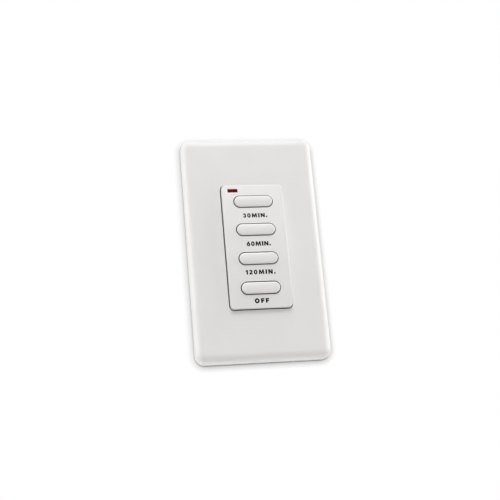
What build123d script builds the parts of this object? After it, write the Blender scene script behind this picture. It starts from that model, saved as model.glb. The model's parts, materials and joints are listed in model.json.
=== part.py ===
from build123d import *
import math
import os

os.makedirs("parts", exist_ok=True)

# A timer light switch for a single wall box: a crowned insert with four press buttons
# and an indicator window, framed by a snap-on cover plate.
# The front faces -Y, +Z is up and +X is to the right. The wall's surface is the plane
# Y = 0, so what shows has a negative Y and what goes into the wall box a positive one.

# Fits and cuts shared by all pieces
overrun = 2.0
root = 0.3
slip = 0.05
seat_gap = 0.1

# The wall box's screw spacing sets the heights, and the plate's window the widths
box_screw_spacing = 83.3
window_width = 33.3
window_end_step = 7.95

# Cover plate, snapped over the frame
plate_side_band = 18.85
plate_end_margin = 7.3
plate_depth = 7.5
plate_roll = 4.3
plate_corner_step = 0.6
plate_wall = 1.8
window_corner = 2.4
window_edge = 0.3
collar_wall = 1.2
plate_rib_wall = 1.0
side_rib_shares = (0.24, 0.0, -0.24)
end_rib_shares = (-0.36, 0.36)
catch_width = 9.0
catch_reach = 1.0
catch_depth = 1.1
catch_spacing = 34.0

# Frame behind the cover plate, and the gap of the cover round it
frame_gap = 0.4
frame_thick = 2.0
frame_window_gap = 0.4
frame_slot_width = 12.0
frame_slot_height = 7.1
frame_relief_width = 5.0
frame_relief_inset = 2.6
frame_relief_corner = 1.5

# Strap that the device hangs on, set back a little from the wall's surface
strap_setback = 0.2
strap_thick = 1.3
strap_waist_margin = 3.0
strap_end_margin = 4.6
strap_corner = 2.0
neck_width = 22.0
ear_width = 38.0
ear_height = 9.0
ear_corner = 3.0
ear_score_width = 1.2
ear_score_height = 6.0
ear_score_place = 12.5
box_slot_width = 8.2
box_slot_height = 4.2
plate_screw_step = 6.75
ground_tab_width = 9.4
ground_tab_drop = 5.2
ground_screw_inset = 5.0
ground_screw_drop = 1.3

# Screws: a thread radius, a head radius and a head height each
thread_radius = 1.75
neck_radius = 1.5
box_head_radius = 3.3
box_head_height = 1.9
box_screw_reach = 24.0
plate_head_radius = 3.0
plate_head_height = 1.4
plate_screw_reach = 9.0
retainer_side = 7.6
retainer_thick = 0.8
drive_width = 0.9
drive_depth = 0.9
small_thread_radius = 1.2
small_head_radius = 2.2
small_head_height = 1.5
board_thread_radius = 0.9
board_head_radius = 1.7
board_head_height = 1.1
terminal_thread_radius = 1.9
terminal_head_radius = 3.7
terminal_head_height = 2.0

# Insert: crowned about the X axis, proud of the plate, with a flange behind the strap
insert_gap = 0.3
insert_proud = 1.9
insert_crown = 1.6
insert_wall = 1.7
insert_edge = 0.5
strap_window_gap = 0.3
flange_side_reach = 4.65
flange_end_reach = 0.6
flange_corner = 1.5
flange_thick = 1.5
insert_rib_wall = 1.0
insert_rib_depth = 2.2
post_radius = 2.1
post_inset = 4.25

# Buttons: pillowed capsules that stand on the crown, one below another
button_names = ("30min", "60min", "120min", "off")
button_width = 20.25
button_height = 5.95
button_gap = 0.5
button_proud = 1.2
button_crown_radius = 12.0
button_roll = 0.8
last_button_drop = 10.45
button_travel = 0.6
guide_wall = 1.1
guide_depth = 1.0
button_flange_reach = 0.75
button_flange_thick = 1.0
plunger_radius = 1.6
button_rib_wall = 1.0
button_rib_depth = 0.9

# Indicator window: a light pipe from the insert's face to the lamp on the board
lens_width = 5.3
lens_height = 1.9
lens_corner = 0.2
lens_side_step = 0.375
lens_shoulder = 0.4
lens_shoulder_thick = 0.8
lens_wall_gap = 0.1
lens_button_gap = 0.8
lamp_width = 3.2
lamp_height = 1.6
lamp_thick = 1.1
lamp_gap = 0.3

# Press switches on the control board
switch_side = 6.0
switch_thick = 3.5
switch_cover = 0.4
switch_leg_width = 0.7
switch_leg_reach = 1.4
switch_leg_thick = 0.3
stem_radius = 1.75
stem_rise = 1.3
stem_foot_radius = 2.2
stem_foot_thick = 0.6
stem_gap = 0.15

# Control board and what it carries on its back
board_thick = 1.6
board_corner = 1.0
board_side_gap = 0.5
control_end_gap = 1.0
chip_side = 7.0
chip_thick = 1.4
chip_place_shares = (-0.1, -0.28)
chip_lead_count = 8
chip_lead_width = 0.3
chip_lead_reach = 1.0
chip_lead_thick = 0.25
radio_width = 16.0
radio_height = 24.0
radio_thick = 0.8
radio_can_height = 16.0
radio_can_thick = 2.2
radio_can_inset = 0.6
radio_place_shares = (0.0, 0.27)
antenna_line = 0.6
antenna_turns = 5

# Rear housing
housing_margin = 1.0
housing_corner = 3.0
housing_wall = 2.0
housing_edge = 1.2
housing_screw_inset = 3.4
boss_radius = 2.9
counterbore_depth = 3.5
counterbore_gap = 0.3
power_post_radius = 2.2
power_post_width_share = 0.36
power_post_height_share = 0.44

# Terminals in recesses at the sides of the housing, open to the back
recess_height = 10.0
recess_depth = 6.0
recess_length = 17.0
terminal_spacing = 28.0
lug_gap = 0.5
lug_thick = 1.2
clamp_inset = 0.3
clamp_thick = 1.0
wire_space = 1.0
terminal_bore_depth = 3.0
gauge_width = 1.2
gauge_depth = 0.6
gauge_length = 14.0

# Power board and what it carries on its front
power_end_gap = 2.5
power_clear = 4.0
left_column_inset = 6.5
right_column_inset = 5.0
relay_size = (12.0, 19.0, 15.2)
relay_gap = 4.3
relay_edge = 0.6
transformer_size = (12.0, 13.0, 12.0)
transformer_core = 3.4
bobbin_flange = 1.2
filter_size = (6.0, 13.0, 11.0)
filter_edge = 0.5
can_radius = 5.0
can_length = 12.0
can_groove = 0.4
can_groove_depth = 1.6
fuse_radius = 2.2
fuse_length = 7.0
varistor_radius = 3.7
varistor_thick = 4.0
header_width = 2.5
header_height = 12.7
header_block = 2.5
header_pin = 0.64
header_pins = 5

# Levels along Y that follow from the sizes above
strap_back = -strap_setback
strap_front = strap_back - strap_thick
frame_front = strap_front - frame_thick
plate_front = -plate_depth
crown_front = plate_front - insert_proud - insert_crown
flange_back = strap_back + flange_thick
control_back = flange_back + board_thick
switch_front = flange_back - switch_thick
stem_front = switch_front - stem_rise
stem_foot_front = switch_front + switch_cover + stem_gap
stem_foot_back = stem_foot_front + stem_foot_thick
power_front = control_back + relay_gap + relay_size[2]
power_back = power_front + board_thick
housing_inner_back = power_back + power_clear
housing_back = housing_inner_back + housing_wall

# Sizes that follow, from the window out to the plate's edge
window_height = box_screw_spacing - 2 * window_end_step
insert_width = window_width - 2 * insert_gap
insert_height = window_height - 2 * insert_gap
insert_corner = window_corner - insert_gap
crown_radius = insert_height**2 / (8 * insert_crown) + insert_crown / 2
flange_width = insert_width + 2 * flange_side_reach
flange_height = insert_height + 2 * flange_end_reach
housing_width = flange_width + 2 * housing_margin
housing_height = flange_height + 2 * housing_margin
strap_width = housing_width
strap_waist_height = housing_height + 2 * strap_waist_margin
plate_screw_spacing = box_screw_spacing + 2 * plate_screw_step
strap_height = plate_screw_spacing + 2 * strap_end_margin
plate_width = window_width + 2 * plate_side_band
plate_height = strap_height + 2 * plate_end_margin
plate_corner = plate_roll + plate_corner_step

# The boards inside, clear of the screw bosses and of the terminal recesses
control_width = housing_width - 2 * (housing_screw_inset + boss_radius + board_side_gap)
control_height = housing_height - 2 * (housing_wall + control_end_gap)
power_width = housing_width - 2 * (recess_depth + housing_wall + board_side_gap)
power_height = housing_height - 2 * (housing_wall + power_end_gap)

# Places that follow: the indicator under the insert's upper wall, over the buttons' left
# ends, and the first button below it
button_reach_width = button_width + 2 * (button_gap + button_flange_reach)
button_reach_height = button_height + 2 * (button_gap + button_flange_reach)
lens_x = -button_width / 2 - lens_side_step
lens_z = insert_height / 2 - insert_wall - lens_wall_gap - lens_shoulder - lens_height / 2
lens_shoulder_bottom = lens_z - lens_height / 2 - lens_shoulder
first_button_z = lens_shoulder_bottom - lens_button_gap - button_reach_height / 2
last_button_z = -insert_height / 2 + last_button_drop
button_pitch = (first_button_z - last_button_z) / (len(button_names) - 1)
button_heights = [first_button_z - row * button_pitch for row in range(len(button_names))]
post_place = insert_width / 2 - post_inset
post_heights = [
    (button_heights[0] + button_heights[1]) / 2,
    (button_heights[-2] + button_heights[-1]) / 2,
]
post_centres = [(side * post_place, z) for side in (-1, 1) for z in post_heights]
housing_screw_x = housing_width / 2 - housing_screw_inset
housing_screw_z = housing_height / 2 - housing_screw_inset
housing_screw_centres = [(i * housing_screw_x, j * housing_screw_z) for i in (-1, 1) for j in (-1, 1)]
ground_screw_x = -strap_width / 2 + ground_screw_inset
ground_screw_z = -strap_waist_height / 2 - ground_screw_drop
terminals = {
    "line": (1, terminal_spacing / 2),
    "load": (1, -terminal_spacing / 2),
    "neutral": (-1, terminal_spacing / 2),
}
terminal_y = housing_back - recess_length + recess_height / 2
lug_side = recess_height - 2 * lug_gap
clamp_side = lug_side - 2 * clamp_inset


def column(heights):
    """The places along Z of pieces that stand on the power board with equal gaps."""
    gap = (power_height - sum(heights)) / (len(heights) + 1)
    top = power_height / 2
    places = []
    for height in heights:
        top -= gap
        places.append(top - height / 2)
        top -= height
    return places


left_column_x = -power_width / 2 + left_column_inset
right_column_x = power_width / 2 - right_column_inset
relay_z, transformer_z, can_z = column([relay_size[1], transformer_size[1], 2 * can_radius])
varistor_z, fuse_z, filter_z, header_z = column(
    [varistor_thick, 2 * fuse_radius, filter_size[1], header_height]
)


def crown_level(z):
    """The Y of the insert's crowned face at a height."""
    return crown_front + crown_radius - math.sqrt(crown_radius**2 - z**2)


def prism(outline, front, back):
    """An outline, drawn in X and Z, made solid from its front Y to its back Y."""
    return extrude(Plane.XZ.offset(-back) * outline, amount=back - front)


def panel(width, height, corner, x=0, z=0):
    return Pos(x, z) * RectangleRounded(width, height, corner)


def capsule(width, height, x=0, z=0):
    return Pos(x, z) * SlotOverall(width, height)


def rod(radius, front, back, x=0, z=0):
    return prism(Pos(x, z) * Circle(radius), front, back)


def block(width, height, front, back, x=0, z=0):
    return prism(Pos(x, z) * Rectangle(width, height), front, back)


def front_face(solid):
    return solid.faces().sort_by(Axis.Y)[0]


def crown_tool(raise_by, width):
    """A wide cylinder that gives a face the insert's crown, raised or lowered."""
    centre = crown_front + crown_radius
    return Pos(0, centre, 0) * Rot(0, 90, 0) * Cylinder(crown_radius + raise_by, width + overrun)


def screw(thread, head, head_height, head_top, tip, x, z, neck=0, neck_end=0):
    """A pan head screw that is driven from the front: its thread ends in a chamfered tip."""
    shank = rod(thread, head_top + head_height, tip, x, z)
    shank = chamfer(shank.faces().sort_by(Axis.Y)[-1].edges(), thread / 3)
    if neck:
        collar = head_top + head_height
        shank -= rod(thread + overrun, collar, neck_end, x, z) - rod(neck, collar, neck_end, x, z)
    cap = rod(head, head_top, head_top + head_height, x, z)
    cap = fillet(front_face(cap).edges(), head_height / 3)
    cap -= block(2 * head, drive_width, head_top - overrun, head_top + drive_depth, x, z)
    return cap + shank


def back_screw(thread, head, head_height, head_top, tip, x, z):
    """A pan head screw that is driven from the back."""
    return mirror(screw(thread, head, head_height, -head_top, -tip, x, z), about=Plane.XZ)


def plate_form(inset):
    """The cover plate's outer form, or the same drawn in by an inset."""
    outline = panel(plate_width - 2 * inset, plate_height - 2 * inset, plate_corner - inset)
    body = prism(outline, plate_front + inset, 0)
    return fillet(front_face(body).edges(), plate_roll - inset)


def catch_pair():
    """Two catches on the upper wall, each with a flat hook and a ramp behind it."""
    wall = plate_height / 2 - plate_wall
    hook = strap_front + seat_gap
    profile = Polyline(
        (0, hook, wall + root),
        (0, hook, wall - catch_reach),
        (0, hook + catch_depth / 3, wall - catch_reach),
        (0, hook + catch_depth, wall),
        (0, hook + catch_depth, wall + root),
        close=True,
    )
    one = extrude(make_face(profile), amount=catch_width / 2, both=True)
    return [Pos(side * catch_spacing / 2, 0, 0) * one for side in (-1, 1)]


def make_wall_plate():
    """The cover: a rolled shell with a collared window, inner ribs and catches."""
    under_face = plate_front + plate_wall
    rib_back = frame_front - seat_gap
    inner = plate_form(plate_wall)
    body = plate_form(0) - inner
    collar_width = window_width + 2 * collar_wall
    collar_height = window_height + 2 * collar_wall
    ribs = prism(panel(collar_width, collar_height, window_corner + collar_wall), plate_front, rib_back)
    for share in side_rib_shares:
        ribs += block(plate_width, plate_rib_wall, plate_front, rib_back, 0, share * window_height)
    for share in end_rib_shares:
        ribs += block(plate_rib_wall, plate_height, plate_front, rib_back, share * window_width, 0)
    body += ribs & plate_form(plate_wall / 2)
    for catch in catch_pair():
        body += catch
        body += mirror(catch, about=Plane.XY)
    window = panel(window_width, window_height, window_corner)
    body -= prism(window, plate_front - overrun, under_face + plate_depth)
    return fillet(front_face(body).inner_wires()[0].edges(), window_edge)


def make_plate_frame():
    """The flat frame that is screwed on the strap and carries the cover."""
    inset = plate_wall + frame_gap
    body = prism(
        panel(plate_width - 2 * inset, plate_height - 2 * inset, plate_corner - inset),
        frame_front,
        strap_front,
    )
    through = (frame_front - overrun, strap_front + overrun)
    gap = 2 * frame_window_gap
    body -= prism(panel(window_width + gap, window_height + gap, window_corner), *through)
    side = (plate_width / 2 - inset + window_width / 2) / 2
    relief_height = window_height - 2 * frame_relief_inset
    for sign in (-1, 1):
        relief = panel(frame_relief_width, relief_height, frame_relief_corner, sign * side)
        body -= prism(relief, *through)
        slot = capsule(frame_slot_width, frame_slot_height, 0, sign * box_screw_spacing / 2)
        body -= prism(slot, *through)
        z = sign * plate_screw_spacing / 2
        body -= rod(thread_radius + slip, *through, 0, z)
        body -= rod(plate_head_radius + seat_gap, through[0], frame_front + plate_head_height, 0, z)
    return body


def make_mounting_strap():
    """The steel strap: a waist round the insert, necks, break-off ears and an earth tab."""
    outline = panel(strap_width, strap_waist_height, strap_corner)
    outline += Rectangle(neck_width, strap_height - ear_height)
    tab_z = -strap_waist_height / 2 - ground_tab_drop / 2
    tab_x = -strap_width / 2 + ground_tab_width / 2
    outline += panel(ground_tab_width, 2 * ground_tab_drop, strap_corner, tab_x, tab_z + ground_tab_drop / 2)
    for sign in (-1, 1):
        ear_z = sign * (strap_height - ear_height) / 2
        outline += panel(ear_width, ear_height, ear_corner, 0, ear_z)
        outline -= capsule(box_slot_width, box_slot_height, 0, sign * box_screw_spacing / 2)
        outline -= Pos(0, sign * plate_screw_spacing / 2) * Circle(thread_radius + slip)
        for side in (-1, 1):
            score = SlotOverall(ear_score_height, ear_score_width, rotation=90)
            outline -= Pos(side * ear_score_place, ear_z) * score
    gap = 2 * strap_window_gap
    outline -= panel(insert_width + gap, insert_height + gap, insert_corner + strap_window_gap)
    for x, z in housing_screw_centres:
        outline -= Pos(x, z) * Circle(small_thread_radius + slip)
    outline -= Pos(ground_screw_x, ground_screw_z) * Circle(thread_radius + slip)
    return prism(outline, strap_front, strap_back)


def insert_form(inset, back):
    """The insert's crowned block, or the same drawn in by an inset."""
    outline = panel(insert_width - 2 * inset, insert_height - 2 * inset, insert_corner - inset)
    return prism(outline, crown_front - overrun, back) & crown_tool(-inset, insert_width)


def make_face_bezel():
    """The insert: a crowned shell with guides for the buttons, posts, ribs and a rear flange."""
    body = insert_form(0, flange_back)
    body = fillet(front_face(body).edges(), insert_edge)
    body += prism(panel(flange_width, flange_height, flange_corner), strap_back, flange_back)
    body -= insert_form(insert_wall, flange_back + overrun)
    inside = insert_form(insert_wall / 2, flange_back)
    details = []
    around = 2 * (button_gap + guide_wall)
    for z in button_heights:
        outer = capsule(button_width + around, button_height + around, 0, z)
        details.append(prism(outer, crown_front - overrun, guide_back(z)))
    for x, z in post_centres:
        details.append(rod(post_radius, crown_front - overrun, flange_back, x, z))
    for z in post_heights:
        back = crown_level(z) + insert_wall + insert_rib_depth
        details.append(block(insert_width, insert_rib_wall, crown_front - overrun, back, 0, z))
    for detail in details:
        body += detail & inside
    for z in button_heights:
        hole = capsule(button_width + 2 * button_gap, button_height + 2 * button_gap, 0, z)
        body -= prism(hole, crown_front - overrun, guide_back(z) + overrun / 2)
    for x, z in post_centres:
        body -= rod(board_thread_radius + slip, flange_back - post_radius * 2, flange_back + overrun, x, z)
    for x, z in housing_screw_centres:
        body -= rod(small_thread_radius + slip, strap_back - overrun, flange_back + overrun, x, z)
    window = panel(lens_width + 2 * slip, lens_height + 2 * slip, lens_corner, lens_x, lens_z)
    body -= prism(window, crown_front - overrun, flange_back)
    return body


def guide_back(z):
    """The flat back of a button's guide, where its flange stops."""
    return crown_level(z) + insert_wall + guide_depth


def button_crown_tool(z):
    """A cylinder along a button that gives its cap a pillowed face."""
    centre = crown_level(z) - button_proud + button_crown_radius
    return Pos(0, centre, z) * Rot(0, 90, 0) * Cylinder(button_crown_radius, button_width + overrun)


def make_button(z):
    """A pillowed capsule cap with a stop flange, a plunger and two ribs beside it."""
    flange_front = guide_back(z) + seat_gap
    flange_rear = flange_front + button_flange_thick
    outline = capsule(button_width, button_height, 0, z)
    cap = prism(outline, crown_front - button_proud - overrun, flange_front) & button_crown_tool(z)
    cap = fillet(front_face(cap).edges(), button_roll)
    cap += prism(capsule(button_reach_width, button_reach_height, 0, z), flange_front, flange_rear)
    cap += rod(plunger_radius, flange_rear - root, stem_front, 0, z)
    rib_width = button_width - button_height
    cap += block(rib_width, button_rib_wall, flange_rear - root, flange_rear + button_rib_depth, 0, z)
    return cap


def make_switch_stem(z):
    """The switch's plunger with the foot that its cover holds in."""
    stem = rod(stem_radius, stem_front, stem_foot_back, 0, z)
    return stem + rod(stem_foot_radius, stem_foot_front, stem_foot_back, 0, z)


def make_tact_switch(z):
    """A square press switch: its body, the well for the foot and four legs on the board."""
    body = block(switch_side, switch_side, switch_front, flange_back, 0, z)
    well_back = stem_foot_back + button_travel + stem_gap
    body -= rod(stem_foot_radius + stem_gap, switch_front + switch_cover, well_back, 0, z)
    body -= rod(stem_radius + stem_gap, switch_front - overrun, switch_front + overrun / 2, 0, z)
    for side in (-1, 1):
        for end in (-1, 1):
            x = side * (switch_side + switch_leg_reach) / 2
            leg_z = z + end * (switch_side / 2 - switch_leg_width)
            leg_front = flange_back - switch_leg_thick
            body += block(
                switch_leg_reach + 2 * root, switch_leg_width, leg_front, flange_back, x, leg_z
            )
    return body


def make_led_lens():
    """A light pipe: flush with the crown in front, with a shoulder behind the wall."""
    shoulder_top = lens_z + lens_height / 2 + lens_shoulder
    shoulder_front = crown_level(shoulder_top) + insert_wall + seat_gap
    back = flange_back - lamp_thick - lamp_gap
    outline = panel(lens_width, lens_height, lens_corner, lens_x, lens_z)
    pipe = prism(outline, crown_front - overrun, back) & crown_tool(0, insert_width)
    shoulder = panel(
        lens_width + lens_shoulder,
        lens_height + 2 * lens_shoulder,
        lens_corner,
        lens_x + lens_shoulder / 2,
        lens_z,
    )
    return pipe + prism(shoulder, shoulder_front, shoulder_front + lens_shoulder_thick)


def make_indicator_led():
    base = flange_back - lamp_thick / 2
    lamp = block(lamp_width, lamp_height, base, flange_back, lens_x, lens_z)
    dome = block(lamp_width / 2, lamp_height, base - lamp_thick / 2, base, lens_x, lens_z)
    return lamp + chamfer(dome.edges().group_by(Axis.Y)[0], lamp_thick / 6)


def make_control_board():
    body = prism(panel(control_width, control_height, board_corner), flange_back, control_back)
    for x, z in post_centres:
        body -= rod(board_thread_radius + slip, flange_back - overrun, control_back + overrun, x, z)
    return body


def on_control(shares):
    return shares[0] * control_width, shares[1] * control_height


def make_microcontroller():
    """A flat chip with leads on all four sides, bent down to the board."""
    x, z = on_control(chip_place_shares)
    body = block(chip_side, chip_side, control_back, control_back + chip_thick, x, z)
    body = chamfer(body.edges().group_by(Axis.Y)[-1], chip_thick / 4)
    pitch = chip_side / (chip_lead_count + 1)
    reach = chip_side / 2 + chip_lead_reach / 2
    for index in range(chip_lead_count):
        along = (index - (chip_lead_count - 1) / 2) * pitch
        for sign in (-1, 1):
            foot = (control_back, control_back + chip_lead_thick)
            body += block(chip_lead_reach + root, chip_lead_width, *foot, x + sign * reach, z + along)
            body += block(chip_lead_width, chip_lead_reach + root, *foot, x + along, z + sign * reach)
    return body


def make_radio_module():
    """A small board with a screening can and a folded antenna track at its top."""
    x, z = on_control(radio_place_shares)
    body = block(radio_width, radio_height, control_back, control_back + radio_thick, x, z)
    can_z = z - (radio_height - radio_can_height) / 2 + radio_can_inset
    can_width = radio_width - 2 * radio_can_inset
    can_front = control_back + radio_thick
    can = block(can_width, radio_can_height, can_front, can_front + radio_can_thick, x, can_z)
    body += fillet(can.edges().filter_by(Axis.Y), radio_can_inset)
    strip = radio_height - radio_can_height - 3 * radio_can_inset
    for turn in range(antenna_turns):
        track_x = x + (turn - (antenna_turns - 1) / 2) * can_width / antenna_turns
        track_z = z + radio_height / 2 - strip / 2 - radio_can_inset / 2
        top = can_front + antenna_line / 2
        body += block(antenna_line, strip - radio_can_inset, can_front, top, track_x, track_z)
    return body


def make_board_header():
    """A pin strip that joins the two boards."""
    strip = (right_column_x, header_z)
    body = block(header_width, header_height, control_back, control_back + header_block, *strip)
    body += block(header_width, header_height, power_front - header_block, power_front, *strip)
    pitch = header_height / header_pins
    for pin in range(header_pins):
        pin_z = header_z + (pin - (header_pins - 1) / 2) * pitch
        body += block(header_pin, header_pin, control_back, power_front, right_column_x, pin_z)
    return body


def make_power_board():
    return prism(panel(power_width, power_height, board_corner), power_front, power_back)


def moulded_case(size, x, z, edge):
    """A rounded box of a width, height and thickness that stands on the power board."""
    body = block(size[0], size[1], power_front - size[2], power_front, x, z)
    return fillet(body.edges().filter_by(Axis.Y) + front_face(body).edges(), edge)


def make_relay():
    return moulded_case(relay_size, left_column_x, relay_z, relay_edge)


def make_transformer():
    """A winding on a bobbin with two flanges, in a core with three legs."""
    width, height, thick = transformer_size
    spot = (left_column_x, transformer_z)
    front = power_front - thick
    body = block(width, height, power_front - bobbin_flange, power_front, *spot)
    body += block(width, height - 2 * bobbin_flange, front + bobbin_flange, power_front, *spot)
    body += block(transformer_core, height, front, power_front, *spot)
    for sign in (-1, 1):
        leg_x = left_column_x + sign * (width - transformer_core) / 2
        body += block(transformer_core, height, front, power_front, leg_x, transformer_z)
    return body


def make_filter_capacitor():
    return moulded_case(filter_size, right_column_x, filter_z, filter_edge)


def make_storage_capacitor():
    """An upright can with a rolled groove near its foot."""
    spot = (left_column_x, can_z)
    body = rod(can_radius, power_front - can_length, power_front, *spot)
    body = fillet(front_face(body).edges(), can_groove)
    ring = (power_front - can_groove_depth - can_groove, power_front - can_groove_depth)
    groove = rod(can_radius + overrun, *ring, *spot) - rod(can_radius - can_groove, *ring, *spot)
    return body - groove


def make_fuse():
    body = rod(fuse_radius, power_front - fuse_length, power_front, right_column_x, fuse_z)
    return fillet(front_face(body).edges(), fuse_radius / 3)


def make_varistor():
    """A coated disc that stands on its edge."""
    centre = power_front - varistor_radius
    disc = Pos(right_column_x, centre, varistor_z) * Cylinder(varistor_radius, varistor_thick)
    disc = fillet(disc.edges().filter_by(GeomType.CIRCLE), varistor_thick / 5)
    foot = block(varistor_radius, varistor_thick / 2, centre, power_front, right_column_x, varistor_z)
    return disc + foot


def side_rod(radius, inner, outer, side, y, z):
    """A round bar along X, between two distances from the middle, on one side."""
    middle = side * (inner + outer) / 2
    return Pos(middle, y, z) * Rot(0, 90, 0) * Cylinder(radius, outer - inner)


def side_plate(width, height, inner, outer, side, y, z):
    """A plate across X, between two distances from the middle, on one side."""
    return Pos(side * (inner + outer) / 2, y, z) * Box(outer - inner, width, height)


def make_rear_housing():
    """The box behind the strap: screw bosses, board posts and terminal recesses."""
    outline = panel(housing_width, housing_height, housing_corner)
    body = prism(outline, flange_back, housing_back)
    body = fillet(body.faces().sort_by(Axis.Y)[-1].edges(), housing_edge)
    inner = panel(
        housing_width - 2 * housing_wall,
        housing_height - 2 * housing_wall,
        housing_corner - housing_wall,
    )
    outer_form = body
    body -= prism(inner, flange_back - overrun, housing_inner_back)
    for x, z in housing_screw_centres:
        body += rod(boss_radius, flange_back, housing_back - root, x, z) & outer_form
    for i in (-1, 1):
        for j in (-1, 1):
            x = i * power_post_width_share * power_width
            z = j * power_post_height_share * power_height
            body += rod(power_post_radius, power_back, housing_back - root, x, z)
    recess_front = housing_back - recess_length
    for side, z in terminals.values():
        middle = side * (housing_width / 2 - recess_depth / 2)
        tub_x = middle - side * housing_wall / 2
        tub = block(
            recess_depth + housing_wall,
            recess_height + 2 * housing_wall,
            recess_front - housing_wall,
            housing_back,
            tub_x,
            z,
        )
        body += tub & outer_form
    for side, z in terminals.values():
        middle = side * (housing_width / 2 - recess_depth / 2 + overrun / 2)
        body -= block(
            recess_depth + overrun, recess_height, recess_front, housing_back + overrun, middle, z
        )
        floor = housing_width / 2 - recess_depth
        bore = terminal_thread_radius + slip
        body -= side_rod(bore, floor - housing_wall - overrun, floor + overrun, side, terminal_y, z)
    for x, z in housing_screw_centres:
        body -= rod(small_thread_radius + slip, flange_back - overrun, housing_back + overrun, x, z)
        seat = small_head_radius + counterbore_gap
        body -= rod(seat, housing_back - counterbore_depth, housing_back + overrun, x, z)
    body -= block(gauge_length, gauge_width, housing_back - gauge_depth, housing_back + overrun, 0, 0)
    return body


def make_terminal_lug(side, z):
    """The brass lug on the recess's floor."""
    floor = housing_width / 2 - recess_depth
    body = side_plate(lug_side, lug_side, floor, floor + lug_thick, side, terminal_y, z)
    bore = terminal_thread_radius + slip
    return body - side_rod(bore, floor - overrun, floor + lug_thick + overrun, side, terminal_y, z)


def make_terminal_screw(side, z):
    """The terminal's screw and the clamp plate that is held under its head."""
    floor = housing_width / 2 - recess_depth
    clamp = floor + lug_thick + wire_space
    under_head = clamp + clamp_thick
    body = side_plate(clamp_side, clamp_side, clamp, under_head, side, terminal_y, z)
    body = fillet(body.edges().filter_by(Axis.X), clamp_thick)
    head = side_rod(
        terminal_head_radius, under_head, under_head + terminal_head_height, side, terminal_y, z
    )
    outer_edges = head.edges().sort_by(Axis.X)[-1 if side > 0 else 0]
    head = fillet(outer_edges, terminal_head_height / 3)
    top = under_head + terminal_head_height
    head -= side_plate(
        2 * terminal_head_radius, drive_width, top - drive_depth, top + overrun, side, terminal_y, z
    )
    shank = side_rod(
        terminal_thread_radius, floor - terminal_bore_depth + root, under_head, side, terminal_y, z
    )
    return body + head + shank


def make_ground_screw():
    """The earth screw, driven from the back into the strap's tab."""
    head_top = strap_back + wire_space + terminal_head_height
    screw_body = back_screw(
        thread_radius,
        terminal_head_radius - drive_width / 2,
        terminal_head_height,
        head_top,
        strap_front,
        ground_screw_x,
        ground_screw_z,
    )
    return screw_body


def box_screw_pair():
    spots = [(0, sign * box_screw_spacing / 2) for sign in (1, -1)]
    neck_end = strap_back + retainer_thick + seat_gap
    top = strap_front - box_head_height
    sizes = (thread_radius, box_head_radius, box_head_height, top, box_screw_reach)
    return Compound([screw(*sizes, x, z, neck_radius, neck_end).solid() for x, z in spots])


def plate_frame_screw_pair():
    spots = [(0, sign * plate_screw_spacing / 2) for sign in (1, -1)]
    sizes = (thread_radius, plate_head_radius, plate_head_height, frame_front, plate_screw_reach)
    return Compound([screw(*sizes, x, z).solid() for x, z in spots])


def screw_retainer_pair():
    """Fibre squares that keep the box screws on the strap."""
    squares = []
    for sign in (1, -1):
        z = sign * box_screw_spacing / 2
        square = panel(retainer_side, retainer_side, retainer_thick, 0, z)
        square -= Pos(0, z) * Circle(neck_radius + slip)
        squares.append(prism(square, strap_back, strap_back + retainer_thick).solid())
    return Compound(squares)


def board_screw_set():
    top = control_back + board_head_height
    tip = flange_back - post_radius
    sizes = (board_thread_radius, board_head_radius, board_head_height, top, tip)
    return Compound([back_screw(*sizes, x, z).solid() for x, z in post_centres])


def housing_screw_set():
    top = housing_back - counterbore_depth + small_head_height
    tip = strap_front + slip
    sizes = (small_thread_radius, small_head_radius, small_head_height, top, tip)
    return Compound([back_screw(*sizes, x, z).solid() for x, z in housing_screw_centres])


pieces = {
    "wall_plate": make_wall_plate(),
    "plate_frame": make_plate_frame(),
    "plate_frame_screws": plate_frame_screw_pair(),
    "mounting_strap": make_mounting_strap(),
    "box_screws": box_screw_pair(),
    "screw_retainers": screw_retainer_pair(),
    "ground_screw": make_ground_screw(),
    "face_bezel": make_face_bezel(),
    "led_lens": make_led_lens(),
    "indicator_led": make_indicator_led(),
    "control_board": make_control_board(),
    "board_screws": board_screw_set(),
    "microcontroller": make_microcontroller(),
    "radio_module": make_radio_module(),
    "board_header": make_board_header(),
    "power_board": make_power_board(),
    "relay": make_relay(),
    "transformer": make_transformer(),
    "filter_capacitor": make_filter_capacitor(),
    "storage_capacitor": make_storage_capacitor(),
    "fuse": make_fuse(),
    "varistor": make_varistor(),
    "rear_housing": make_rear_housing(),
    "housing_screws": housing_screw_set(),
}
for name, z in zip(button_names, button_heights):
    pieces["button_" + name] = make_button(z)
    pieces["switch_stem_" + name] = make_switch_stem(z)
    pieces["tact_switch_" + name] = make_tact_switch(z)
for name, (side, z) in terminals.items():
    pieces["terminal_lug_" + name] = make_terminal_lug(side, z)
    pieces["terminal_screw_" + name] = make_terminal_screw(side, z)

for name, piece in pieces.items():
    export_step(piece, f"parts/{name}.step")
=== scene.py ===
import json
import math

import bmesh
import bpy
from mathutils import Matrix, Vector


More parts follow.
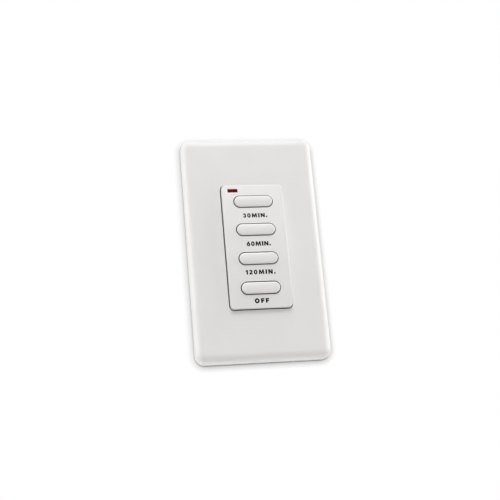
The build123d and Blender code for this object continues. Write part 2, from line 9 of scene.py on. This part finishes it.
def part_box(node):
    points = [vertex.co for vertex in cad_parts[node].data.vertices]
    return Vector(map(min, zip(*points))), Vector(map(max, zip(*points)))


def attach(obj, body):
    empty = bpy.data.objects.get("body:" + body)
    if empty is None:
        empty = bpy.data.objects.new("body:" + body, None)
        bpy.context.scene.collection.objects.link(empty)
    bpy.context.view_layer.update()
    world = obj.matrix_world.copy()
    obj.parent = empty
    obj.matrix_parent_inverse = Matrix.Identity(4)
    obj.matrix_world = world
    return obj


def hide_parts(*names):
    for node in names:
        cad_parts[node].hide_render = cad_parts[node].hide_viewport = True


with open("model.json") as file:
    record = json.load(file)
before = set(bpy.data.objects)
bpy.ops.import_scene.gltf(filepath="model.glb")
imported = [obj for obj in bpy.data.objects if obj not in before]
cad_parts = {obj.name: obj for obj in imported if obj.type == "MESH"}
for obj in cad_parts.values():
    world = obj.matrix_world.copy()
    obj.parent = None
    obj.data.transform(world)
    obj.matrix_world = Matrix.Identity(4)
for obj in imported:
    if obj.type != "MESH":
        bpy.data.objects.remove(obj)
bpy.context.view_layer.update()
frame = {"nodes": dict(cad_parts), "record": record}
scene = bpy.context.scene
nodes = frame["nodes"]
MM = 0.001
white = (1.0, 1.0, 1.0)

# The camera stands low and to the left of the plate, as the photograph's did
camera_place = Vector((-0.113839, -0.530055, -0.146313))
camera_right = Vector((0.979353, -0.183583, -0.084643))
camera_up = Vector((0.032002, -0.272627, 0.961587))
camera_back = Vector((-0.199607, -0.944442, -0.261123))
camera_lens = 76.29
sensor_width = 36.0

# Lamps: azimuth, elevation, size and level, where a level of 1 shows a colour as it is written
lamp_distance = 1.3
lamp_plan = {
    "front_high": (0, 45, 0.9, 0.44),
    "front_steep": (0, 65, 0.9, 0.475),
    "left_side": (-80, 0, 0.9, 0.155),
    "left_high": (-80, 25, 0.6, 0.04),
    "left_edge": (-100, 15, 0.6, 0.42),
    "right_side": (80, 0, 0.9, 0.22),
    "right_high": (80, 25, 0.6, 0.255),
    "right_edge": (100, 15, 0.6, 0.175),
    "behind": (180, 15, 0.9, 0.50),
}
fill_level = 0.07

# Floor: how far down it lies, its side, where it fades to white, and its colour in the picture
# and as a source of light from below
floor_drop = 0.42
floor_side = 12.0
floor_fade = (0.45, 1.5)
floor_colour = (0.88, 0.88, 0.88)
floor_bounce = (0.9, 0.9, 0.9)

# Contact shadow round the plate: its depth at each side, a soft halo and a thin line at the foot
shadow_sides = {"left": 0.58, "right": 1.0, "top": 0.5, "bottom": 1.0}
shadow_halo = 4.0 * MM
shadow_line = 0.8 * MM
line_strength = 0.8
shadow_card_width = 4.2 * MM
shadow_gap = 0.02 * MM
shadow_colour = (0.05, 0.045, 0.04)
plate_corner = 4.9 * MM
corner_steps = 10

# Most of a noise texture's values lie between these two
noise_low, noise_high = 0.3, 0.7

# Painted shade in narrow gaps: its reach, and how open a place is with the colour that its own is
# multiplied by
gap_shade_reach = 1.2 * MM
gap_shade_samples = 8
gap_shade_steps = [(0.42, (0.09, 0.038, 0.02)), (0.56, (0.40, 0.31, 0.25)), (0.72, white)]
gap_shaded_plastics = ("plate_white", "insert_white", "button_white")

# Plastics: colour, roughness, size and height of the moulded grain in mm, drift of the colour
plastic_plan = {
    "plate_white": ((0.814, 0.798, 0.786), 0.42, 0.35, 0.004, 0.01),
    "insert_white": ((0.814, 0.796, 0.782), 0.36, 0.30, 0.003, 0.01),
    "button_white": ((0.800, 0.780, 0.764), 0.30, 0.30, 0.002, 0.01),
    "frame_white": ((0.74, 0.73, 0.71), 0.5, 0.4, 0.008, 0.01),
    "housing_grey": ((0.055, 0.057, 0.06), 0.5, 0.25, 0.02, 0.08),
    "chip_black": ((0.02, 0.02, 0.022), 0.55, 0.12, 0.01, 0.1),
    "can_black": ((0.03, 0.035, 0.06), 0.3, 0.5, 0.004, 0.08),
    "relay_blue": ((0.03, 0.14, 0.45), 0.35, 0.3, 0.006, 0.05),
    "film_grey": ((0.42, 0.42, 0.40), 0.4, 0.3, 0.006, 0.05),
    "varistor_blue": ((0.05, 0.10, 0.30), 0.25, 0.6, 0.02, 0.08),
    "core_brown": ((0.16, 0.10, 0.05), 0.5, 0.2, 0.02, 0.2),
    "retainer_fibre": ((0.20, 0.13, 0.08), 0.75, 0.1, 0.02, 0.2),
    "lamp_white": ((0.72, 0.70, 0.60), 0.3, 0.4, 0.003, 0.01),
}
plastic_gloss = {"plate_white": 0.3}
usual_gloss = 0.5

# Metals: colour, roughness, and how the streaks of their finish are drawn out
along_y = (1.0, 0.05, 1.0)
along_x = (0.05, 1.0, 1.0)
metal_plan = {
    "zinc_steel": ((0.62, 0.63, 0.64), 0.36, along_x),
    "screw_steel": ((0.60, 0.60, 0.59), 0.3, along_y),
    "shield_tin": ((0.68, 0.68, 0.66), 0.32, along_x),
    "terminal_brass": ((0.78, 0.58, 0.27), 0.3, along_x),
    "neutral_nickel": ((0.66, 0.64, 0.60), 0.28, along_x),
    "ground_green": ((0.05, 0.32, 0.12), 0.32, along_y),
}

# The insert's crowned face starts at the front of its box
crown_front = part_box("face_bezel")[0].y
crown_radius = 349.38 * MM

# Legends: text, middle of each line in x and z, height of a capital, width of the line, in mm
legend_plan = {
    "legend_30min": ("30MIN.", 0.32, 16.1, 2.35, 12.9),
    "legend_60min": ("60MIN.", 0.77, 0.55, 2.4, 12.8),
    "legend_120min": ("120MIN.", 0.5, -14.6, 2.4, 15.7),
    "legend_off": ("OFF", 0.08, -29.6, 2.4, 7.6),
}
legend_thick = 0.03 * MM
layer_step = 0.002 * MM
stroke = 0.28
arc_steps = 48

# Threads of the screws that show behind: where each thread starts, in y, and the screws' places
thread_pitch = 0.79 * MM
thread_radius = 1.75 * MM
thread_depth = 0.34 * MM
thread_slope = 1.25
thread_steps = 8
thread_sides = 24
thread_plan = {
    "box_screws": (0.7 * MM, 41.65 * MM),
    "plate_frame_screws": (-2.1 * MM, 48.4 * MM),
}
touching = 0.01 * MM


def add_object(name, data):
    piece = bpy.data.objects.new(name, data)
    scene.collection.objects.link(piece)
    return piece


def new_material(name):
    material = bpy.data.materials.new(name)
    material.use_nodes = True
    tree = material.node_tree
    return material, tree, tree.nodes["Principled BSDF"]


def bare_material(name):
    """A material with nothing but its output, to be built up from plain shaders."""
    material, tree, shader = new_material(name)
    tree.nodes.remove(shader)
    return material, tree, tree.nodes["Material Output"]


def noise(tree, size, detail=2.0, stretch=(1.0, 1.0, 1.0)):
    """Noise with features of about a size in metres, fixed to the object."""
    coords = tree.nodes.new("ShaderNodeTexCoord")
    mapping = tree.nodes.new("ShaderNodeMapping")
    mapping.inputs["Scale"].default_value = [factor / size for factor in stretch]
    tree.links.new(coords.outputs["Object"], mapping.inputs["Vector"])
    texture = tree.nodes.new("ShaderNodeTexNoise")
    texture.inputs["Scale"].default_value = 1.0
    texture.inputs["Detail"].default_value = detail
    tree.links.new(mapping.outputs["Vector"], texture.inputs["Vector"])
    return texture.outputs["Fac"]


def spread(tree, value, low, high):
    """A noise value brought to a range."""
    node = tree.nodes.new("ShaderNodeMapRange")
    node.inputs["From Min"].default_value = noise_low
    node.inputs["From Max"].default_value = noise_high
    node.inputs["To Min"].default_value = low
    node.inputs["To Max"].default_value = high
    tree.links.new(value, node.inputs["Value"])
    return node.outputs["Result"]


def tint(tree, value, colour, change):
    """A colour that drifts a little darker and lighter with a noise value."""
    ramp = tree.nodes.new("ShaderNodeValToRGB")
    dark, light = ramp.color_ramp.elements
    dark.position, light.position = noise_low, noise_high
    dark.color = [c * (1 - change) for c in colour] + [1.0]
    light.color = [min(c * (1 + change), 1.0) for c in colour] + [1.0]
    tree.links.new(value, ramp.inputs["Fac"])
    return ramp.outputs["Color"]


def bump(tree, shader, value, height):
    node = tree.nodes.new("ShaderNodeBump")
    node.inputs["Distance"].default_value = height
    tree.links.new(value, node.inputs["Height"])
    tree.links.new(node.outputs["Normal"], shader.inputs["Normal"])


def painted_gap_shade(tree, colour):
    """Painted shade: the colour, brought down to a dark brown where a narrow gap lets little light
    in.
    """
    gap = tree.nodes.new("ShaderNodeAmbientOcclusion")
    gap.inputs["Distance"].default_value = gap_shade_reach
    gap.samples = gap_shade_samples
    ramp = tree.nodes.new("ShaderNodeValToRGB")
    stops = ramp.color_ramp.elements
    stops.new(gap_shade_steps[1][0])
    for stop, (place, shade) in zip(stops, gap_shade_steps):
        stop.position = place
        stop.color = (*shade, 1.0)
    tree.links.new(gap.outputs["AO"], ramp.inputs["Fac"])
    mix = tree.nodes.new("ShaderNodeMix")
    mix.data_type = "RGBA"
    mix.blend_type = "MULTIPLY"
    mix.inputs["Factor"].default_value = 1.0
    tree.links.new(colour, mix.inputs["A"])
    tree.links.new(ramp.outputs["Color"], mix.inputs["B"])
    return mix.outputs["Result"]


def plastic(name, colour, rough, grain, height, change):
    """Moulded plastic: a faint drift of colour, uneven gloss and a fine moulded grain, and for the
    white plastics painted shade in narrow gaps.
    """
    drift_size, gloss_size, uneven, detail = 18 * MM, 4 * MM, 0.02, 3.0
    material, tree, shader = new_material(name)
    base = tint(tree, noise(tree, drift_size), colour, change)
    # The white plastics get painted shade: their colour is darkened in narrow gaps
    if name in gap_shaded_plastics:
        base = painted_gap_shade(tree, base)
    tree.links.new(base, shader.inputs["Base Color"])
    gloss = spread(tree, noise(tree, gloss_size, detail), rough - uneven, rough + uneven)
    tree.links.new(gloss, shader.inputs["Roughness"])
    bump(tree, shader, noise(tree, grain * MM, detail), height * MM)
    shader.inputs["Specular IOR Level"].default_value = plastic_gloss.get(name, usual_gloss)
    return material


def metal(name, colour, rough, stretch):
    """Plated or drawn metal: streaks along one way in its gloss and surface, uneven in colour."""
    drift_size, streak_size, streak_height = 3 * MM, 0.25 * MM, 0.004 * MM
    change, detail, smoother, rougher = 0.08, 4.0, 0.08, 0.1
    material, tree, shader = new_material(name)
    streaks = noise(tree, streak_size, detail, stretch)
    base = tint(tree, noise(tree, drift_size, detail), colour, change)
    tree.links.new(base, shader.inputs["Base Color"])
    gloss = spread(tree, streaks, rough - smoother, rough + rougher)
    tree.links.new(gloss, shader.inputs["Roughness"])
    bump(tree, shader, streaks, streak_height)
    shader.inputs["Metallic"].default_value = 1.0
    return material


def circuit_board(name, mask, track):
    """Solder mask over tracks, which show as slightly raised and lighter lines."""
    track_pitch, track_share, track_height, other_mask = 6 * MM, 0.05, 0.03 * MM, 0.9
    gloss_size, rough = 1.5 * MM, (0.25, 0.4)
    material, tree, shader = new_material(name)
    coords = tree.nodes.new("ShaderNodeTexCoord")
    mapping = tree.nodes.new("ShaderNodeMapping")
    mapping.inputs["Scale"].default_value = (1 / track_pitch,) * 3
    mapping.inputs["Rotation"].default_value = (math.radians(90), 0, 0)
    tree.links.new(coords.outputs["Object"], mapping.inputs["Vector"])
    lines = tree.nodes.new("ShaderNodeTexBrick")
    lines.inputs["Scale"].default_value = 1.0
    lines.inputs["Mortar Size"].default_value = track_share
    lines.inputs["Color1"].default_value = (*mask, 1.0)
    lines.inputs["Color2"].default_value = (*[c * other_mask for c in mask], 1.0)
    lines.inputs["Mortar"].default_value = (*track, 1.0)
    tree.links.new(mapping.outputs["Vector"], lines.inputs["Vector"])
    tree.links.new(lines.outputs["Color"], shader.inputs["Base Color"])
    tree.links.new(spread(tree, noise(tree, gloss_size), *rough), shader.inputs["Roughness"])
    bump(tree, shader, lines.outputs["Fac"], track_height)
    return material


def dull_film(name, colour, change, sizes, rough, height, gloss_level, detail=2.0):
    """A lens or a film of ink; the sizes are those of its drift of colour, gloss and grain."""
    drift_size, gloss_size, grain = [size * MM for size in sizes]
    material, tree, shader = new_material(name)
    base = tint(tree, noise(tree, drift_size), colour, change)
    tree.links.new(base, shader.inputs["Base Color"])
    tree.links.new(spread(tree, noise(tree, gloss_size), *rough), shader.inputs["Roughness"])
    bump(tree, shader, noise(tree, grain, detail), height * MM)
    shader.inputs["Specular IOR Level"].default_value = gloss_level
    return material


finishes = {name: plastic(name, *details) for name, details in plastic_plan.items()}
finishes.update({name: metal(name, *details) for name, details in metal_plan.items()})
finishes["board_green"] = circuit_board("board_green", (0.02, 0.13, 0.05), (0.03, 0.22, 0.09))

# The red light pipe is dark while its lamp is off, and the pad-printed ink is nearly black
finishes["lens_red"] = dull_film(
    "lens_red", (0.150, 0.001, 0.001), 0.12, (2, 1, 0.6), (0.3, 0.4), 0.004, 0.03
)
legend_ink = dull_film(
    "legend_ink", (0.012, 0.011, 0.011), 0.2, (0.5, 0.3, 0.08), (0.4, 0.55), 0.002, 0.1, 3.0
)

for entry in frame["record"]["subparts"]:
    for place in nodes[entry["node"]].material_slots:
        place.material = finishes[entry["material_slot"]]


def outline(*corners):
    """A stroke given by the corners of its outline."""
    return list(corners), [tuple(range(len(corners)))]


def arc(x, y, wide, high, start=0.0, end=360.0, weight=stroke):
    """A curved stroke between two angles of an ellipse's outline; a full turn is a closed ring."""
    closed = end - start == 360.0
    corners, faces = [], []
    for step in range(arc_steps + (0 if closed else 1)):
        angle = math.radians(start + (end - start) * step / arc_steps)
        for inward in (0.0, weight):
            across, up = (wide - inward) * math.cos(angle), (high - inward) * math.sin(angle)
            corners.append((x + across, y + up))
    for step in range(arc_steps):
        here, after = 2 * step, 2 * (step + 1) % len(corners)
        faces.append((here, after, after + 1, here + 1))
    return corners, faces


# Letter shapes for a capital of height 1: their width and their strokes
letters = {
    "0": (0.80, [arc(0.4, 0.5, 0.4, 0.52)]),
    "1": (0.50, [outline(
        (0.18, 0), (0.5, 0), (0.5, 1), (0.28, 1), (0, 0.86), (0, 0.58), (0.18, 0.68),
    )]),
    "2": (0.72, [
        arc(0.35, 0.67, 0.35, 0.35, 165, -25),
        outline(
            (0, 0), (0.72, 0), (0.72, 0.25), (0.42, 0.25), (0.667, 0.522), (0.413, 0.64), (0, 0.16),
        ),
    ]),
    "3": (0.70, [
        arc(0.32, 0.73, 0.32, 0.29, 180, -90),
        arc(0.33, 0.3, 0.37, 0.32, 90, -180),
    ]),
    "6": (0.80, [
        arc(0.4, 0.36, 0.4, 0.38),
        outline((0.01, 0.46), (0.34, 1.02), (0.7, 1.02), (0.44, 0.62), (0.2, 0.4)),
    ]),
    "F": (0.74, [outline(
        (0, 0), (0.36, 0), (0.36, 0.34), (0.68, 0.34), (0.68, 0.62),
        (0.36, 0.62), (0.36, 0.74), (0.74, 0.74), (0.74, 1), (0, 1),
    )]),
    "I": (0.34, [outline((0, 0), (0.34, 0), (0.34, 1), (0, 1))]),
    "M": (1.24, [outline(
        (0, 0), (0.31, 0), (0.37, 0.5), (0.54, 0), (0.7, 0), (0.87, 0.5), (0.93, 0),
        (1.24, 0), (1.13, 1), (0.83, 1), (0.62, 0.46), (0.41, 1), (0.11, 1),
    )]),
    "N": (0.96, [outline(
        (0, 0), (0.31, 0), (0.31, 0.5), (0.65, 0), (0.96, 0),
        (0.96, 1), (0.65, 1), (0.65, 0.5), (0.31, 1), (0, 1),
    )]),
    "O": (1.08, [arc(0.54, 0.5, 0.54, 0.53, weight=0.34)]),
    ".": (0.32, [outline((0, 0), (0.32, 0), (0.32, 0.32), (0, 0.32))]),
}


def crown_level(z):
    return crown_front + crown_radius - math.sqrt(crown_radius**2 - z**2)


def make_legend(name, text, x, z, cap, width):
    """A printed line of text, spaced out to its width and laid on the crown."""
    free = width / cap - sum(letters[letter][0] for letter in text)
    space = free / (len(text) - 1)
    places, faces = [], []
    left = -width / cap / 2
    for letter in text:
        letter_width, strokes = letters[letter]
        for layer, (corners, shapes) in enumerate(strokes):
            faces += [tuple(len(places) + corner for corner in shape) for shape in shapes]
            for across, up in corners:
                at_x = (x + (left + across) * cap) * MM
                at_z = (z + (up - 0.5) * cap) * MM
                places.append((at_x, crown_level(at_z) - layer * layer_step, at_z))
        left += letter_width + space
    mesh = bpy.data.meshes.new(name)
    mesh.from_pydata(places, [], faces)
    mesh.materials.append(legend_ink)
    piece = add_object(name, mesh)
    film = piece.modifiers.new("film", "SOLIDIFY")
    film.thickness = legend_thick
    film.offset = 0.0
    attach(piece, "device")


for name, details in legend_plan.items():
    make_legend(name, *details)


def thread_rings(start, tip, middle_z):
    """Rings of points down a threaded shank: a V thread that runs out at the tip."""
    count = round((tip - start) / thread_pitch * thread_steps)
    rings = []
    for ring in range(count + 1):
        y = start + (tip - start) * ring / count
        points = []
        for side in range(thread_sides):
            turn = side / thread_sides
            phase = (y / thread_pitch + turn) % 1.0
            ridge = min(1.0, thread_slope * (1.0 - abs(2.0 * phase - 1.0)))
            radius = thread_radius - thread_depth * (1.0 - ridge)
            radius = min(radius, thread_radius - 2 * thread_depth + (tip - y))
            angle = 2 * math.pi * turn
            points.append((radius * math.cos(angle), y, middle_z + radius * math.sin(angle)))
        rings.append(points)
    return rings


def thread_screws(node, start, place_z):
    """The CAD screws with their heads as they are and threads in place of the plain shanks."""
    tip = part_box(node)[1].y
    shape = bmesh.new()
    shape.from_mesh(nodes[node].data)
    for face in list(shape.faces):
        depths = [corner.co.y for corner in face.verts]
        if min(depths) > start - touching and max(depths) > start + touching:
            shape.faces.remove(face)
    loose = [corner for corner in shape.verts if not corner.link_faces]
    bmesh.ops.delete(shape, geom=loose, context="VERTS")
    for sign in (-1, 1):
        plan = thread_rings(start, tip, sign * place_z)
        rings = [[shape.verts.new(point) for point in ring] for ring in plan]
        for ring, following in zip(rings, rings[1:]):
            for side in range(thread_sides):
                after = (side + 1) % thread_sides
                corners = (ring[side], following[side], following[after], ring[after])
                shape.faces.new(corners).smooth = True
        shape.faces.new(rings[-1])
    bmesh.ops.recalc_face_normals(shape, faces=shape.faces)
    mesh = bpy.data.meshes.new(node + "_threaded")
    shape.to_mesh(mesh)
    shape.free()
    mesh.materials.append(finishes["screw_steel"])
    piece = add_object(node + "_threaded", mesh)
    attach(piece, "device")
    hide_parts(node)


for name, details in thread_plan.items():
    thread_screws(name, *details)


def add_lamp(name, azimuth, elevation, size, level):
    """A square soft lamp that faces the object; its power follows from its distance."""
    data = bpy.data.lights.new(name, "AREA")
    data.shape = "SQUARE"
    data.size = size
    data.energy = level * math.pi**2 * lamp_distance**2
    lamp = add_object(name, data)
    turn, rise = math.radians(azimuth), math.radians(elevation)
    flat = math.cos(rise)
    place = lamp_distance * Vector((math.sin(turn) * flat, -math.cos(turn) * flat, math.sin(rise)))
    facing = place.to_track_quat("Z", "Y").to_matrix().to_4x4()
    lamp.matrix_world = Matrix.Translation(place) @ facing
    return lamp


for name, details in lamp_plan.items():
    lamp = add_lamp(name, *details)
    # Seen by gloss, the lamp behind would burn out the strap and the terminals
    lamp.visible_glossy = name != "behind"


def seen_rays(tree):
    """1 for the rays with which the camera, gloss and clear pieces see the background."""
    rays = tree.nodes.new("ShaderNodeLightPath")
    value = rays.outputs["Is Camera Ray"]
    for kind in ("Is Glossy Ray", "Is Transmission Ray"):
        either = tree.nodes.new("ShaderNodeMath")
        either.operation = "MAXIMUM"
        tree.links.new(value, either.inputs[0])
        tree.links.new(rays.outputs[kind], either.inputs[1])
        value = either.outputs[0]
    return value


def blend(tree, factor, first, second):
    """A mix of two shaders, from the first at 0 to the second at 1."""
    mix = tree.nodes.new("ShaderNodeMixShader")
    tree.links.new(factor, mix.inputs["Fac"])
    tree.links.new(first.outputs[0], mix.inputs[1])
    tree.links.new(second.outputs[0], mix.inputs[2])
    return mix


def plain_shader(tree, kind, colour, strength=None):
    node = tree.nodes.new(kind)
    node.inputs["Color"].default_value = (*colour, 1.0)
    if strength is not None:
        node.inputs["Strength"].default_value = strength
    return node


def make_world():
    """White where the camera, gloss and glass see it, and a low even fill on the object."""
    world = bpy.data.worlds.new("white_studio")
    scene.world = world
    world.use_nodes = True
    tree = world.node_tree
    tree.nodes.clear()
    fill = plain_shader(tree, "ShaderNodeBackground", white, fill_level)
    seen = plain_shader(tree, "ShaderNodeBackground", white, 1.0)
    output = tree.nodes.new("ShaderNodeOutputWorld")
    surface = blend(tree, seen_rays(tree), fill, seen)
    tree.links.new(surface.outputs[0], output.inputs["Surface"])


def floor_material():
    """Pale near by and white far off where it is seen, and matt for all other light."""
    material, tree, output = bare_material("floor_white")
    coords = tree.nodes.new("ShaderNodeTexCoord")
    reach = tree.nodes.new("ShaderNodeVectorMath")
    reach.operation = "LENGTH"
    tree.links.new(coords.outputs["Object"], reach.inputs[0])
    far = tree.nodes.new("ShaderNodeMapRange")
    far.interpolation_type = "SMOOTHSTEP"
    far.inputs["From Min"].default_value, far.inputs["From Max"].default_value = floor_fade
    tree.links.new(reach.outputs["Value"], far.inputs["Value"])
    near = plain_shader(tree, "ShaderNodeBsdfDiffuse", floor_colour)
    glow = plain_shader(tree, "ShaderNodeEmission", white, 1.0)
    seen = blend(tree, far.outputs["Result"], near, glow)
    bounce = plain_shader(tree, "ShaderNodeBsdfDiffuse", floor_bounce)
    surface = blend(tree, seen_rays(tree), bounce, seen)
    tree.links.new(surface.outputs[0], output.inputs["Surface"])
    return material


def make_floor():
    """A pale floor below the picture, which takes the object's shadow."""
    half = floor_side / 2
    corners = [(-half, -half), (half, -half), (half, half), (-half, half)]
    mesh = bpy.data.meshes.new("floor")
    mesh.from_pydata([(x, y, -floor_drop) for x, y in corners], [], [(0, 1, 2, 3)])
    mesh.materials.append(floor_material())
    floor = add_object("floor", mesh)


def rounded_outline(half_width, half_height, corner):
    """Points round a rectangle with round corners, in x and z, and the way each one faces."""
    points = []
    for turn, (side, end) in enumerate([(1, 1), (-1, 1), (-1, -1), (1, -1)]):
        centre_x, centre_z = side * (half_width - corner), end * (half_height - corner)
        for step in range(corner_steps + 1):
            angle = math.radians(90 * (turn + step / corner_steps))
            across, up = math.cos(angle), math.sin(angle)
            points.append((centre_x + corner * across, centre_z + corner * up, across, up))
    return points


def occlusion(tree, reach):
    """How much of the light from near by is shut off, from 0 to 1."""
    near = tree.nodes.new("ShaderNodeAmbientOcclusion")
    near.inputs["Distance"].default_value = reach
    shut = tree.nodes.new("ShaderNodeMath")
    shut.operation = "SUBTRACT"
    shut.inputs[0].default_value = 1.0
    tree.links.new(near.outputs["AO"], shut.inputs[1])
    return shut.outputs[0]


def shadow_material():
    """Clear, and dark where the rim shuts off the light, by the depth of each side's shadow."""
    material, tree, output = bare_material("contact_shadow")
    depth = tree.nodes.new("ShaderNodeMath")
    depth.operation = "MULTIPLY_ADD"
    depth.inputs[1].default_value = line_strength
    tree.links.new(occlusion(tree, shadow_line), depth.inputs[0])
    tree.links.new(occlusion(tree, shadow_halo), depth.inputs[2])
    sides = tree.nodes.new("ShaderNodeAttribute")
    sides.attribute_name = "shade"
    strength = tree.nodes.new("ShaderNodeMath")
    strength.operation = "MULTIPLY"
    strength.use_clamp = True
    tree.links.new(depth.outputs[0], strength.inputs[0])
    tree.links.new(sides.outputs["Fac"], strength.inputs[1])
    clear = plain_shader(tree, "ShaderNodeBsdfTransparent", white)
    dark = plain_shader(tree, "ShaderNodeBsdfDiffuse", shadow_colour)
    surface = blend(tree, strength.outputs[0], clear, dark)
    tree.links.new(surface.outputs[0], output.inputs["Surface"])
    return material


def make_shadow_card():
    """A ring behind the plate's rim that carries only its contact shadow."""
    low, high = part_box("wall_plate")
    half_width, half_height = (high.x - low.x) / 2, (high.z - low.z) / 2
    places, shades = [], []
    for grow in (0.0, shadow_card_width):
        ring = rounded_outline(half_width + grow, half_height + grow, plate_corner + grow)
        for x, z, across, up in ring:
            places.append((x, high.y + shadow_gap, z))
            side = shadow_sides["right" if across > 0 else "left"]
            end = shadow_sides["top" if up > 0 else "bottom"]
            shades.append(side * across**2 + end * up**2)
    count = len(places) // 2
    faces = [(i, (i + 1) % count, count + (i + 1) % count, count + i) for i in range(count)]
    mesh = bpy.data.meshes.new("shadow_card")
    mesh.from_pydata(places, [], faces)
    shade = mesh.color_attributes.new("shade", "FLOAT_COLOR", "POINT")
    for corner, value in zip(shade.data, shades):
        corner.color = (value, value, value, 1.0)
    mesh.materials.append(shadow_material())
    card = add_object("shadow_card", mesh)


def make_camera():
    data = bpy.data.cameras.new("camera")
    data.lens = camera_lens
    data.sensor_width = sensor_width
    camera = add_object("camera", data)
    turn = Matrix((camera_right, camera_up, camera_back)).transposed()
    camera.matrix_world = Matrix.Translation(camera_place) @ turn.to_4x4()
    scene.camera = camera


make_world()
make_floor()
make_shadow_card()
make_camera()
scene.view_settings.view_transform = "Standard"
